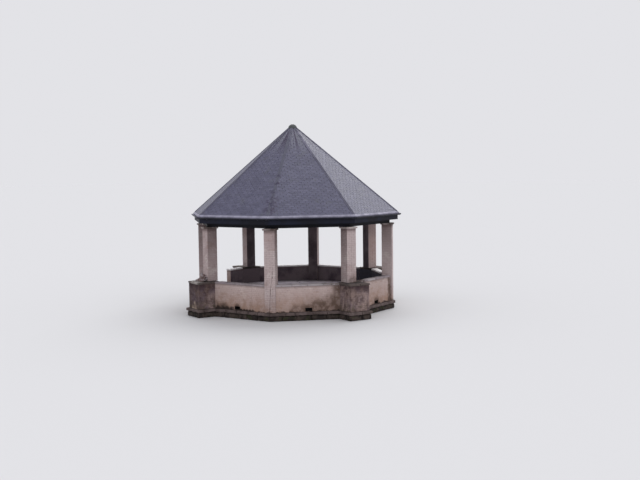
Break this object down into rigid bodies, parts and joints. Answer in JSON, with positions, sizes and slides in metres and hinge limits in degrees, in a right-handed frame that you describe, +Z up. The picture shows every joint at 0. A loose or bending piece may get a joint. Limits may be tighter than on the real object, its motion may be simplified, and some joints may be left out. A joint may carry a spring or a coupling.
{
  "type": "bandstand",
  "caption": "Open octagonal bandstand with painted brick piers and parapet, corner pedestals and a steep slate roof.",
  "frame": {"origin": "centre of the floor plan at ground level", "axes": "+Z up; one plain side of the parapet faces -Y and the entrance side faces -X"},
  "size_m": [9.9078, 9.9078, 8.1545],
  "materials": {
    "mossy_stone": "rough, damp and mossy",
    "floor_screed": "worn cement screed",
    "coping_stone": "weathered cast stone",
    "pale_slab": "weathered cast stone",
    "painted_brick": "worn masonry paint on brick",
    "pier_brick": "worn masonry paint on brick",
    "stained_brick": "stained and flaking brick",
    "navy_timber": "dark gloss paint, dulled",
    "bare_timber": "aged sawn timber",
    "slate": "wet-looking natural slate",
    "pale_metal": "dull weathered sheet",
    "lead": "dull weathered lead"
  },
  "bodies": {
    "root": {"base_plinth": "mossy_stone", "pedestal_feet": "mossy_stone", "floor_platform": "floor_screed", "parapet_coping": "coping_stone", "pedestal_caps": "coping_stone", "pier_caps": "pale_slab", "ring_beam": "navy_timber", "soffit": "navy_timber", "fascia": "navy_timber", "gutter": "pale_metal", "wall_plate": "bare_timber", "king_post": "bare_timber", "hip_rafters": "bare_timber", "common_rafters": "bare_timber", "eaves_flashing": "pale_metal", "hip_flashing": "lead", "apex_cap": "lead", "wall_front": "painted_brick", "roof_front": "slate", "wall_front_right": "painted_brick", "roof_front_right": "slate", "wall_right": "painted_brick", "roof_right": "slate", "wall_back_right": "painted_brick", "roof_back_right": "slate", "wall_back": "painted_brick", "roof_back": "slate", "wall_back_left": "painted_brick", "roof_back_left": "slate", "wall_left": "painted_brick", "roof_left": "slate", "wall_front_left": "painted_brick", "roof_front_left": "slate", "pier_front_right": "pier_brick", "pier_right_front": "pier_brick", "pedestal_right_front": "stained_brick", "pier_right_back": "pier_brick", "pier_back_right": "pier_brick", "pedestal_back_right": "stained_brick", "pier_back_left": "pier_brick", "pier_left_back": "pier_brick", "pedestal_left_back": "stained_brick", "pier_left_front": "pier_brick", "pier_front_left": "pier_brick", "pedestal_front_left": "stained_brick"}
  },
  "joints": []
}
